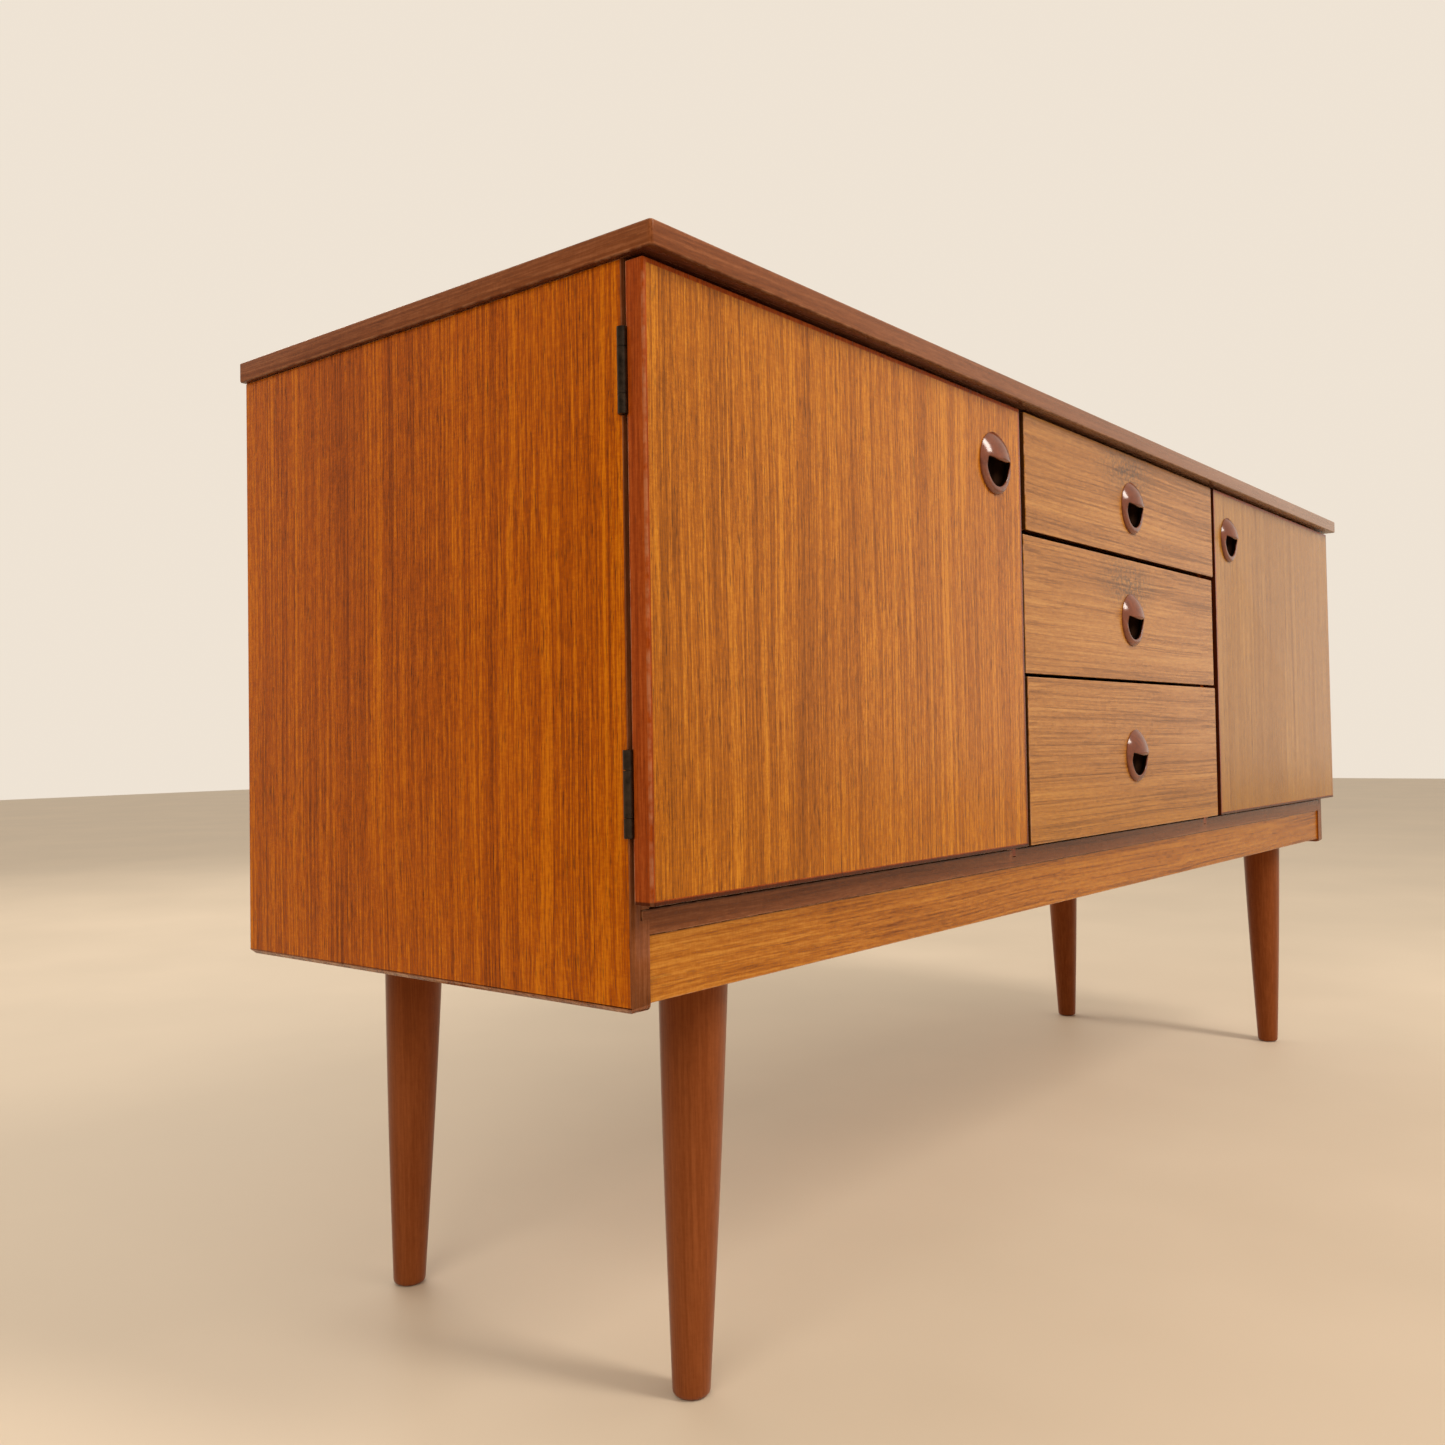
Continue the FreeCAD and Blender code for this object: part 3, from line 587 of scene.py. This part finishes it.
# The top and its lippings are darker on faces turned downwards: painted shade under the overhang.
top_veneer = wood("teak_top_veneer", "x", TEAK_TOP, PORE, shift=(0.1, 0.3, 5.1), wave=3 * MM,
                  underside_shade=UNDERSIDE_PAINTED_SHADE)
# Painted shade along the rails' upper joint.
rail_teak = wood("teak_rail", "x", TEAK_RAIL, PORE, shift=(1.3, 0.3, 2.2), wave=2 * MM, bold=0.8,
                 rings=0.22, pores=0.3, colour_overlay=rail_joint_painted_shade)
# The front lipping also gets a painted haze towards its right-hand end.
lipping_x = wood("lipping_lengthways", "x", EDGE_STRIP, PORE, bold=0.6, pores=0.3, wear=0.25,
                 underside_shade=UNDERSIDE_PAINTED_SHADE, colour_overlay=painted_haze)
lipping_y = wood("lipping_crossways", "y", EDGE_STRIP, PORE, bold=0.6, pores=0.3, wear=0.25,
                 underside_shade=UNDERSIDE_PAINTED_SHADE)
lipping_z = wood("lipping_upright", "z", DOOR_STRIP, PORE, bold=0.6, pores=0.3)
# Painted shade on the doors' inner edges and feet.
door_lipping = wood("door_lipping", "z", DOOR_STRIP, PORE, bold=0.6, pores=0.3, wear=0.32, colour_overlay=door_edge_painted_shade)
side_lipping = wood("side_lipping", "z", EDGE_STRIP, PORE, bold=0.6, pores=0.3, wear=0.4)
# Painted shade along the bottom lipping's front arris, in the gap under the doors.
shelf_lipping = wood("bottom_lipping", "x", EDGE_STRIP, PORE, bold=0.6, pores=0.3, wear=0.25,
                     colour_overlay=gap_shadow)
inside_veneer = wood("inside_veneer", "x", INSIDE, PORE, shift=(0.7, 0.1, 3.3), bold=0.7)
inside_upright = wood("inside_veneer_upright", "z", INSIDE, PORE, shift=(0.7, 2.1, 3.3), bold=0.7)
beech = wood("drawer_beech", "y", BEECH, BEECH_PORE, bold=0.6, pores=0.4, gloss=0.5)
beech_x = wood("drawer_beech_back", "x", BEECH, BEECH_PORE, bold=0.6, pores=0.4, gloss=0.5)
plywood = wood("drawer_plywood", "x", PLYWOOD, BEECH_PORE, wave=6 * MM, bold=0.7, pores=0.3, gloss=0.55)
leg_wood = wood("stained_leg", "z", LEG_STAIN, LEG_PORE, bold=0.28, rings=0.05, pores=0.12, gloss=0.30)
bronze_metal = bronze()
handle_brown = handle_gloss()
bright_steel = steel()
plastic = catch_plastic()
back_board = hardboard()


# ---------------------------------------------------------------- top lippings

def band_mesh(name, stations, section):
    """Bar whose section is swept through the stations; each station maps (depth, height) to a point."""
    builder = bmesh.new()
    wear = builder.faces.layers.float.new("wear")
    rings = [[builder.verts.new(station(depth, height)) for depth, height in section]
             for station in stations]
    count = len(section)
    for ring, following in zip(rings, rings[1:]):
        for index in range(count):
            after = (index + 1) % count
            face = builder.faces.new((ring[index], ring[after], following[after], following[index]))
            depths = (section[index][0], section[after][0])
            on_arris = 0 < max(depths) < TOP_ARRIS + BOX_REACH and min(depths) < TOP_ARRIS - BOX_REACH
            face[wear] = ARRIS_WEAR if on_arris else 0.0
    builder.faces.new(rings[0])
    builder.faces.new(reversed(rings[-1]))
    return finished_mesh(name, builder)


def corner_station(corner, inward_x, angle, along_x, widths):
    """Station on the rounded corner of the top. angle runs from nought, square to the strip, to 45 degrees
    on the joint, and widths are those of the side and front strips that meet in it. inward_x is +1 at the
    left corner and -1 at the right one."""
    side_width, front_width = widths
    slope = (side_width - TOP_CORNER) / (front_width - TOP_CORNER)
    spread = CORNER_FAN * (1 - angle / (math.pi / 4))

    def point(depth, height):
        if depth <= TOP_CORNER:
            reach = TOP_CORNER - depth
            sideways = TOP_CORNER - reach * (math.sin(angle) if along_x else math.cos(angle))
            backwards = TOP_CORNER - reach * (math.cos(angle) if along_x else math.sin(angle))
        elif along_x:
            sideways = TOP_CORNER + (depth - TOP_CORNER) * slope + spread
            backwards = depth
        else:
            sideways = depth
            backwards = TOP_CORNER + (depth - TOP_CORNER) / slope + spread
        return corner.x + inward_x * sideways, corner.y + backwards, height

    return point


def top_lippings():
    """Strips round the top: a deep one along the front and a narrow one down each side, mitred together."""
    low, high = box_of("top_panel", "top_front_lipping", "top_side_lippings")
    panel_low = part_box("top_panel")[0]
    widths = (panel_low.x - low.x, panel_low.y - low.y)
    angles = [math.pi / 4 * step / CORNER_STEPS for step in range(CORNER_STEPS + 1)]
    left = Vector((low.x, low.y, 0.0))
    right = Vector((high.x, low.y, 0.0))

    front = [corner_station(left, 1, angle, True, widths) for angle in reversed(angles)]
    front += [corner_station(right, -1, angle, True, widths) for angle in angles]
    section = band_section(widths[1], low.z, high.z, TOP_ARRIS)
    piece("top_front_lipping_finished", band_mesh("top_front_lipping", front, section), lipping_x,
          "hardwood_lipping", "top_front_lipping")

    def rear_station(x, inward):
        return lambda depth, height: (x + inward * depth, high.y, height)

    section = band_section(widths[0], low.z, high.z, TOP_ARRIS)
    builder = bmesh.new()
    for corner, inward in ((left, 1), (right, -1)):
        side = [corner_station(corner, inward, angle, False, widths) for angle in reversed(angles)]
        side.append(rear_station(corner.x, inward))
        builder.from_mesh(band_mesh("side", side, section))
    piece("top_side_lippings_finished", finished_mesh("top_side_lippings", builder), lipping_y,
          "hardwood_lipping", "top_side_lippings")


# ---------------------------------------------------------------- handles

def handle_height(x, z, rim):
    """How far the handle's face stands out: a domed lid above, and a low ring round the mouth below."""
    radius = min(math.hypot(x, z), rim)
    rise = HANDLE_RISE - HANDLE_RIM
    ball = (rim * rim + rise * rise) / (2 * rise)
    lid = HANDLE_RISE - ball + math.sqrt(ball * ball - radius * radius)
    across = max(0.0, radius - MOUTH_RADIUS) / (rim - MOUTH_RADIUS)
    ring = HANDLE_RIM + (RING_RISE - HANDLE_RIM) * math.sqrt(1 - across * across)
    share = min(1.0, max(0.0, (z - LID_START) / (LID_END - LID_START)))
    share = share * share * (3 - 2 * share)
    return ring + (lid - ring) * share


def round_reach(angle, radius):
    """Distance from the mouth's middle to a circle round the handle's middle."""
    along = MOUTH_MIDDLE * math.sin(angle)
    return math.sqrt(along * along - MOUTH_MIDDLE ** 2 + radius * radius) - along


def mouth_reach(angle, radius, lip):
    """Distance from the mouth's middle to its outline, a circle closed above by a lip that hangs lowest in
    its middle."""
    across, up = math.cos(angle), math.sin(angle)
    to_circle = round_reach(angle, radius)
    bend = LIP_HANG * across * across / radius ** 2
    inside = up * up - 4 * bend * (lip - MOUTH_MIDDLE)
    if up <= 0 or inside <= 0:
        return to_circle
    to_lip = 2 * (lip - MOUTH_MIDDLE) / (up + math.sqrt(inside))
    return (to_circle ** -EAR_SHARPNESS + to_lip ** -EAR_SHARPNESS) ** (-1 / EAR_SHARPNESS)


def handle_mesh(node):
    """Domed pull, as loops from its plug round its rim, over its face and through its mouth to the cup."""
    low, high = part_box(node)
    centre = (low + high) / 2
    rim = (high.x - low.x) / 2
    face_y = low.y + HANDLE_RISE
    plug_end = face_y - high.y
    angles = [2 * math.pi * step / HANDLE_STEPS for step in range(HANDLE_STEPS)]
    outer = [mouth_reach(angle, MOUTH_RADIUS + LIP_ROUND, LIP_MIDDLE + LIP_ROUND) for angle in angles]
    inner = [mouth_reach(angle, MOUTH_RADIUS, LIP_MIDDLE) for angle in angles]
    edge = [round_reach(angle, rim) for angle in angles]
    cup = [round_reach(angle, CUP_RADIUS) for angle in angles]

    def spot(angle, reach):
        return reach * math.cos(angle), MOUTH_MIDDLE + reach * math.sin(angle)

    def loop(reaches, height):
        """Ring of points at the given reaches; height maps (x, z) to how far out they stand."""
        points = []
        for angle, reach in zip(angles, reaches):
            x, z = spot(angle, reach)
            points.append(builder.verts.new((centre.x + x, face_y - height(x, z), centre.z + z)))
        return points

    def between(first, second, share):
        return [a + (b - a) * share for a, b in zip(first, second)]

    def under_lid(x, z):
        share = min(1.0, math.hypot(x, z) / CUP_RADIUS)
        return (HANDLE_RISE - LID_THICKNESS) * (1 - share * share) ** LID_CROWN

    def face(x, z):
        return handle_height(x, z, rim)

    builder = bmesh.new()
    # Faces from the mouth inwards are marked for the painted shade in the handle's hollow.
    painted_hollow_shade = builder.faces.layers.float.new("painted_hollow_shade")
    plug = [round_reach(angle, PLUG_RADIUS) for angle in angles]
    loops = [loop(plug, lambda x, z: plug_end), loop(plug, lambda x, z: 0.0), loop(edge, lambda x, z: 0.0)]
    for step in range(FACE_LOOPS + 1):
        loops.append(loop(between(edge, outer, (step / FACE_LOOPS) ** FACE_CROWDING), face))
    for step in range(1, LIP_LOOPS + 1):
        turn = math.pi / 2 * step / LIP_LOOPS
        dip = LIP_ROUND * (1 - math.cos(turn))
        loops.append(loop(between(outer, inner, math.sin(turn)), lambda x, z: face(x, z) - dip))
    first_hollow = len(loops) - 1
    for step in range(WALL_LOOPS + 1):
        loops.append(loop(between(inner, cup, step / WALL_LOOPS), under_lid))
    for step in range(1, CUP_LOOPS + 1):
        turn = math.pi / 2 * step / CUP_LOOPS
        radius = CUP_FLOOR + (CUP_RADIUS - CUP_FLOOR) * math.cos(turn)
        ring = [round_reach(angle, radius) for angle in angles]
        loops.append(loop(ring, lambda x, z: -CUP_DEPTH * math.sin(turn)))

    for number, (first, second) in enumerate(zip(loops, loops[1:])):
        for index in range(HANDLE_STEPS):
            after = (index + 1) % HANDLE_STEPS
            made = builder.faces.new((first[index], first[after], second[after], second[index]))
            made[painted_hollow_shade] = 1.0 if number >= first_hollow else 0.0
    builder.faces.new(loops[-1])[painted_hollow_shade] = 1.0
    builder.faces.new(reversed(loops[0]))
    return finished_mesh(node, builder)


# ---------------------------------------------------------------- legs

def leg_mesh(node, foot):
    """Turned leg with a gentle swell, leaning from its top to its foot, cut level at both ends."""
    low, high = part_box(node)
    height = high.z - low.z
    foot_middle = Vector((foot[0], foot[1], low.z))
    leg_top = Vector((math.copysign(LEG_TOP_X, foot[0]), foot[1], high.z))
    turns = [2 * math.pi * step / LEG_STEPS for step in range(LEG_STEPS)]
    quarter = math.pi / 2
    heights = [LEG_FOOT_ROUND * (1 - math.cos(quarter * step / FOOT_LOOPS))
               for step in range(FOOT_LOOPS + 1)]
    heights += [LEG_FOOT_ROUND + (height - LEG_FOOT_ROUND) * step / LEG_LOOPS
                for step in range(1, LEG_LOOPS + 1)]

    builder = bmesh.new()
    rings = []
    for up in heights:
        share = up / height
        radius = LEG_FOOT_RADIUS + (LEG_TOP_RADIUS - LEG_FOOT_RADIUS) * share
        radius += LEG_SWELL * math.sin(math.pi * share)
        if up < LEG_FOOT_ROUND:
            radius -= LEG_FOOT_ROUND - math.sqrt(LEG_FOOT_ROUND ** 2 - (LEG_FOOT_ROUND - up) ** 2)
        middle = foot_middle.lerp(leg_top, share)
        rings.append([builder.verts.new(middle + radius * Vector((math.cos(turn), math.sin(turn), 0.0)))
                      for turn in turns])
    for first, second in zip(rings, rings[1:]):
        for index in range(LEG_STEPS):
            after = (index + 1) % LEG_STEPS
            builder.faces.new((first[index], first[after], second[after], second[index]))
    builder.faces.new(reversed(rings[0]))
    builder.faces.new(rings[-1])
    builder.faces.layers.float.new("wear")
    return finished_mesh(node, builder)


# ---------------------------------------------------------------- whole object

def planed_off(face):
    """True for the bevel along a side panel's foot, which the planer has left bare."""
    return abs(face.normal.x) > BARE_SLOPE and face.normal.z < -BARE_SLOPE


def carcass():
    refined("top_panel", top_veneer, "teak_veneer_lengthways", BOARD_ARRIS, segments=1)
    top_lippings()
    for side in ("left", "right"):
        hull = box_of(side + "_side_panel", side + "_side_lippings")
        refined(side + "_side_panel", side_veneer, "teak_veneer_upright", FRONT_ARRIS, hull)
        refined(side + "_side_lippings", side_lipping, "hardwood_lipping", FRONT_ARRIS, hull,
                bare=planed_off)
        refined(side + "_partition", inside_upright, "inside_veneer", BOARD_ARRIS)
        refined(side + "_shelf", inside_veneer, "inside_veneer", BOARD_ARRIS)
        refined(side + "_drawer_runners", beech, "drawer_beech", BOARD_ARRIS)
    refined("partition_lippings", lipping_z, "hardwood_lipping", BOARD_ARRIS)
    refined("bottom_board", inside_veneer, "inside_veneer", BOARD_ARRIS)
    refined("bottom_board_lipping", shelf_lipping, "hardwood_lipping", FRONT_ARRIS)
    refined("front_rail", rail_teak, "teak_rail", FRONT_ARRIS)
    refined("rear_rail", rail_teak, "teak_rail", FRONT_ARRIS)
    refined("back_panel", back_board, "back_hardboard", BOARD_ARRIS)


def doors():
    for side, end in (("left", 0), ("right", 1)):
        hull = box_of(side + "_door_panel", side + "_door_lippings")
        hinge_side = hull[end].x
        refined(side + "_door_panel", door_veneers[side], "teak_veneer_upright", BOARD_ARRIS, hull)
        refined(side + "_door_lippings", door_lipping, "hardwood_lipping", BOARD_ARRIS, hull,
                wide_x=hinge_side)


def drawers():
    for name in ("upper", "middle", "lower"):
        refined(name + "_drawer_front", drawer_veneers[name], "teak_drawer_front", FRONT_ARRIS)
        refined(name + "_drawer_sides", beech, "drawer_beech", BOARD_ARRIS)
        refined(name + "_drawer_back", beech_x, "drawer_beech", BOARD_ARRIS)
        refined(name + "_drawer_bottom", plywood, "drawer_plywood", BOARD_ARRIS)


def handles():
    for name in ("left_door", "right_door", "upper_drawer", "middle_drawer", "lower_drawer"):
        node = name + "_handle"
        piece(node + "_finished", handle_mesh(node), handle_brown, "handle_brown", node)


def legs():
    mounts = {mount["name"]: mount for mount in frame["record"]["mounts"]}
    for place in ("front_left", "front_right", "rear_left", "rear_right"):
        node = place + "_leg"
        foot = mounts[place + "_foot"]["pos_m"]
        piece(node + "_finished", leg_mesh(node, foot), leg_wood, "stained_leg", node)


def metalwork():
    for node in ("hinge_carcass_leaves", "left_door_hinge_leaves", "right_door_hinge_leaves"):
        refined(node, bronze_metal, "hinge_bronze", METAL_ARRIS)
    finishes = {
        bronze_metal: ("hinge_pins",),
        bright_steel: ("hinge_carcass_screws", "left_door_hinge_screws", "right_door_hinge_screws",
                       "shelf_pins", "left_door_strike", "right_door_strike", "leg_plates",
                       "leg_hanger_bolts", "leg_plate_screws", "back_panel_screws"),
        plastic: ("door_catches",),
        beech: ("top_dowels",),
    }
    for material, nodes in finishes.items():
        for node in nodes:
            mesh = frame["nodes"][node].data
            mesh.materials.clear()
            mesh.materials.append(material)


# ---------------------------------------------------------------- studio

def camera():
    data = bpy.data.cameras.new("camera")
    data.lens = CAMERA_LENS
    data.sensor_width = SENSOR_WIDTH
    data.shift_x, data.shift_y = CAMERA_SHIFT
    data.clip_start = 0.05
    data.clip_end = 200.0
    made = bpy.data.objects.new("camera", data)
    bpy.context.scene.collection.objects.link(made)
    forward = Vector((
        math.sin(CAMERA_TURN) * math.cos(CAMERA_PITCH),
        math.cos(CAMERA_TURN) * math.cos(CAMERA_PITCH),
        math.sin(CAMERA_PITCH),
    ))
    level = Vector((math.cos(CAMERA_TURN), -math.sin(CAMERA_TURN), 0.0))
    upright = level.cross(forward)
    right = level * math.cos(CAMERA_ROLL) + upright * math.sin(CAMERA_ROLL)
    up = upright * math.cos(CAMERA_ROLL) - level * math.sin(CAMERA_ROLL)
    turn = Matrix((right, up, -forward)).transposed()
    made.matrix_world = Matrix.Translation(CAMERA_PLACE) @ turn.to_4x4()
    bpy.context.scene.camera = made


def soft_light(name, place, target, size, power, mirrored=True):
    """Rectangular light at a place, turned towards the target; an unmirrored one shows in no reflection."""
    data = bpy.data.lights.new(name, "AREA")
    data.shape = "RECTANGLE"
    data.size, data.size_y = size
    data.energy = power
    data.color = LIGHT_COLOUR
    made = bpy.data.objects.new(name, data)
    bpy.context.scene.collection.objects.link(made)
    made.visible_glossy = mirrored
    made.location = place
    made.rotation_euler = (Vector(target) - Vector(place)).to_track_quat("-Z", "Y").to_euler()


def floor():
    g = Graph("pale_floor")
    cloud = g.noise(g.place(), 2.2, 3.0)
    colour = g.ramp(g.level(cloud, 0.3, 0.7), *zip((0.0, 1.0), FLOOR_TONES))
    g.set(Base_Color=colour, Roughness=g.level(cloud, 0.3, 0.7, 0.55, 0.65))
    builder = bmesh.new()
    bmesh.ops.create_grid(builder, x_segments=8, y_segments=8, size=FLOOR_SIZE / 2)
    mesh = bpy.data.meshes.new("floor")
    builder.to_mesh(mesh)
    builder.free()
    mesh.materials.append(g.material)
    made = bpy.data.objects.new("floor", mesh)
    bpy.context.scene.collection.objects.link(made)
    made.location.z = cad_box[0].z


def room_glow(nodes, links, towards):
    """Brightness of the room by direction: dim on the left, and bright where a window stands on the right.
    The backdrop that the picture shows is even."""

    def share(direction, low, high, to_low, to_high):
        along = nodes.new("ShaderNodeVectorMath")
        along.operation = "DOT_PRODUCT"
        along.inputs[1].default_value = direction
        links.new(towards, along.inputs[0])
        spread = nodes.new("ShaderNodeMapRange")
        for key, value in (("From Min", low), ("From Max", high), ("To Min", to_low), ("To Max", to_high)):
            spread.inputs[key].default_value = value
        links.new(along.outputs["Value"], spread.inputs["Value"])
        return spread.outputs["Result"]

    product = nodes.new("ShaderNodeMath")
    product.operation = "MULTIPLY"
    links.new(share(DIM_SIDE, 0.0, 0.9, 1.0, DIM_GLOW), product.inputs[0])
    links.new(share(WINDOW_SIDE, 0.9, 1.0, 1.0, WINDOW_GLOW), product.inputs[1])
    backdrop = nodes.new("ShaderNodeMix")
    backdrop.inputs["B"].default_value = 1.0
    links.new(nodes.new("ShaderNodeLightPath").outputs["Is Camera Ray"], backdrop.inputs["Factor"])
    links.new(product.outputs[0], backdrop.inputs["A"])
    return backdrop.outputs["Result"]


def studio():
    world = bpy.data.worlds.new("pale room")
    world.use_nodes = True
    nodes, links = world.node_tree.nodes, world.node_tree.links
    background = nodes["Background"]
    background.inputs["Color"].default_value = ROOM_COLOUR
    towards = nodes.new("ShaderNodeTexCoord").outputs["Generated"]
    links.new(room_glow(nodes, links, towards), background.inputs["Strength"])
    bpy.context.scene.world = world
    bpy.context.scene.view_settings.view_transform = "Standard"
    middle = (cad_box[0] + cad_box[1]) / 2
    soft_light("front light", (0.3, -3.0, 3.2), middle, (0.8, 2.0), 95.0)
    soft_light("left light", (-3.4, -1.0, 2.2), middle, (2.0, 2.0), 50.0, mirrored=False)
    soft_light("rear light", (0.6, 3.2, 2.4), middle, (2.4, 1.6), 35.0)
    floor()
    camera()


carcass()
doors()
drawers()
handles()
legs()
metalwork()
studio()
